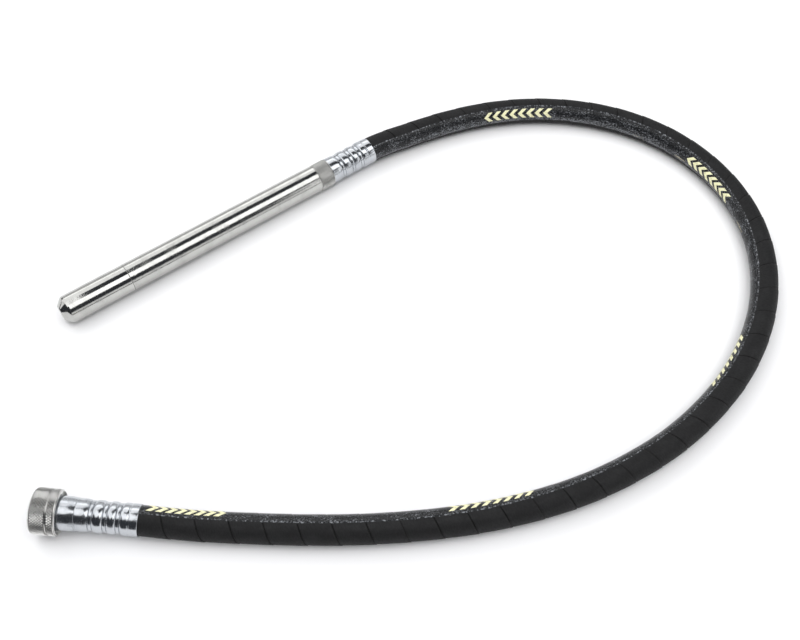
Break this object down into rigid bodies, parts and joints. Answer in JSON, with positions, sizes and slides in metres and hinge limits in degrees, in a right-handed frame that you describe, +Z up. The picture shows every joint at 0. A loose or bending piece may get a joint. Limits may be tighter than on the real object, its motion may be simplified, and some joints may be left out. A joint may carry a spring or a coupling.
{
  "type": "concrete vibrator shaft",
  "caption": "Flexible drive shaft in a rubber hose with a cylindrical eccentric vibrating head at one end and a knurled screw coupling at the other.",
  "frame": {"origin": "on the ground, under the middle of the box round the head and the coupling, which lie side by side while the hose loops away", "axes": "+X points from the coupling nut along the coupling towards the hose, +Y from the coupling towards the head, +Z up from the ground"},
  "size_m": [0.8757, 0.6786, 0.0515],
  "materials": {
    "polished_steel": "hardened steel, ground and polished bright",
    "knurled_steel": "satin steel with a fine knurl",
    "zinc_plated_steel": "bright zinc plate with a faint blue cast",
    "knurled_nut_steel": "zinc plated steel with a diamond knurl",
    "turned_steel": "turned steel, oiled",
    "bearing_steel": "ground bearing steel",
    "spring_steel": "blued spring steel wire and strip",
    "bronze": "sintered bronze, oiled",
    "hose_rubber": "wrapped and cured black rubber with a glossier printed strip",
    "hose_braid": "woven textile cord",
    "seal_rubber": "moulded nitrile rubber"
  },
  "bodies": {
    "shaft": {"head_tip": "polished_steel", "tip_o_ring": "seal_rubber", "head_tube": "polished_steel", "front_preload_washer": "spring_steel", "front_bearing_outer_ring": "bearing_steel", "rear_bearing_a_outer_ring": "bearing_steel", "rear_bearing_b_outer_ring": "bearing_steel", "rear_outer_spacer": "turned_steel", "bearing_circlip": "spring_steel", "shaft_seal": "seal_rubber", "hose_adapter": "knurled_steel", "adapter_o_ring": "seal_rubber", "head_ferrule": "zinc_plated_steel", "hose_cover": "hose_rubber", "hose_braid": "hose_braid", "hose_lining": "seal_rubber", "guide_liner": "spring_steel", "flexible_core": "spring_steel", "coupling_body": "zinc_plated_steel", "coupling_ferrule": "zinc_plated_steel", "tang_bush": "bronze"},
    "rotor": {"eccentric_rotor": "turned_steel", "front_bearing_inner_ring": "bearing_steel", "rear_bearing_a_inner_ring": "bearing_steel", "rear_bearing_b_inner_ring": "bearing_steel", "rear_inner_spacer": "turned_steel", "rotor_circlip": "spring_steel", "core_head_fitting": "turned_steel"},
    "front_cage": {"front_bearing_cage": "bronze"},
    "rear_cage_a": {"rear_bearing_a_cage": "bronze"},
    "rear_cage_b": {"rear_bearing_b_cage": "bronze"},
    "tang": {"drive_tang": "turned_steel"},
    "nut_carrier": {"nut_thrust_washer": "turned_steel"},
    "nut": {"coupling_nut": "knurled_nut_steel"}
  },
  "joints": [
    {"name": "rotor_spin", "type": "hinge", "parent": "shaft", "child": "rotor", "pos_m": [-0.17495, -0.01378, 0.018], "axis": [-0.766, -0.6428, 0], "continuous": true},
    {"name": "front_cage_spin", "type": "hinge", "parent": "shaft", "child": "front_cage", "pos_m": [-0.17495, -0.01378, 0.018], "axis": [-0.766, -0.6428, 0], "continuous": true},
    {"name": "rear_cage_a_spin", "type": "hinge", "parent": "shaft", "child": "rear_cage_a", "pos_m": [-0.17495, -0.01378, 0.018], "axis": [-0.766, -0.6428, 0], "continuous": true},
    {"name": "rear_cage_b_spin", "type": "hinge", "parent": "shaft", "child": "rear_cage_b", "pos_m": [-0.17495, -0.01378, 0.018], "axis": [-0.766, -0.6428, 0], "continuous": true},
    {"name": "tang_spin", "type": "hinge", "parent": "shaft", "child": "tang", "pos_m": [-0.13653, -0.2655, 0.02676], "axis": [0.9976, 0, -0.0698], "continuous": true},
    {"name": "nut_slide", "type": "slide", "parent": "shaft", "child": "nut_carrier", "axis": [0.9976, 0, -0.0698], "range_m": [0, 0.035]},
    {"name": "nut_spin", "type": "hinge", "parent": "nut_carrier", "child": "nut", "pos_m": [-0.13653, -0.2655, 0.02676], "axis": [0.9976, 0, -0.0698], "continuous": true}
  ],
  "couplings": [
    {"joint": "front_cage_spin", "follows": "rotor_spin", "ratio": 0.381},
    {"joint": "rear_cage_a_spin", "follows": "rotor_spin", "ratio": 0.381},
    {"joint": "rear_cage_b_spin", "follows": "rotor_spin", "ratio": 0.381},
    {"joint": "tang_spin", "follows": "rotor_spin", "ratio": 1}
  ]
}
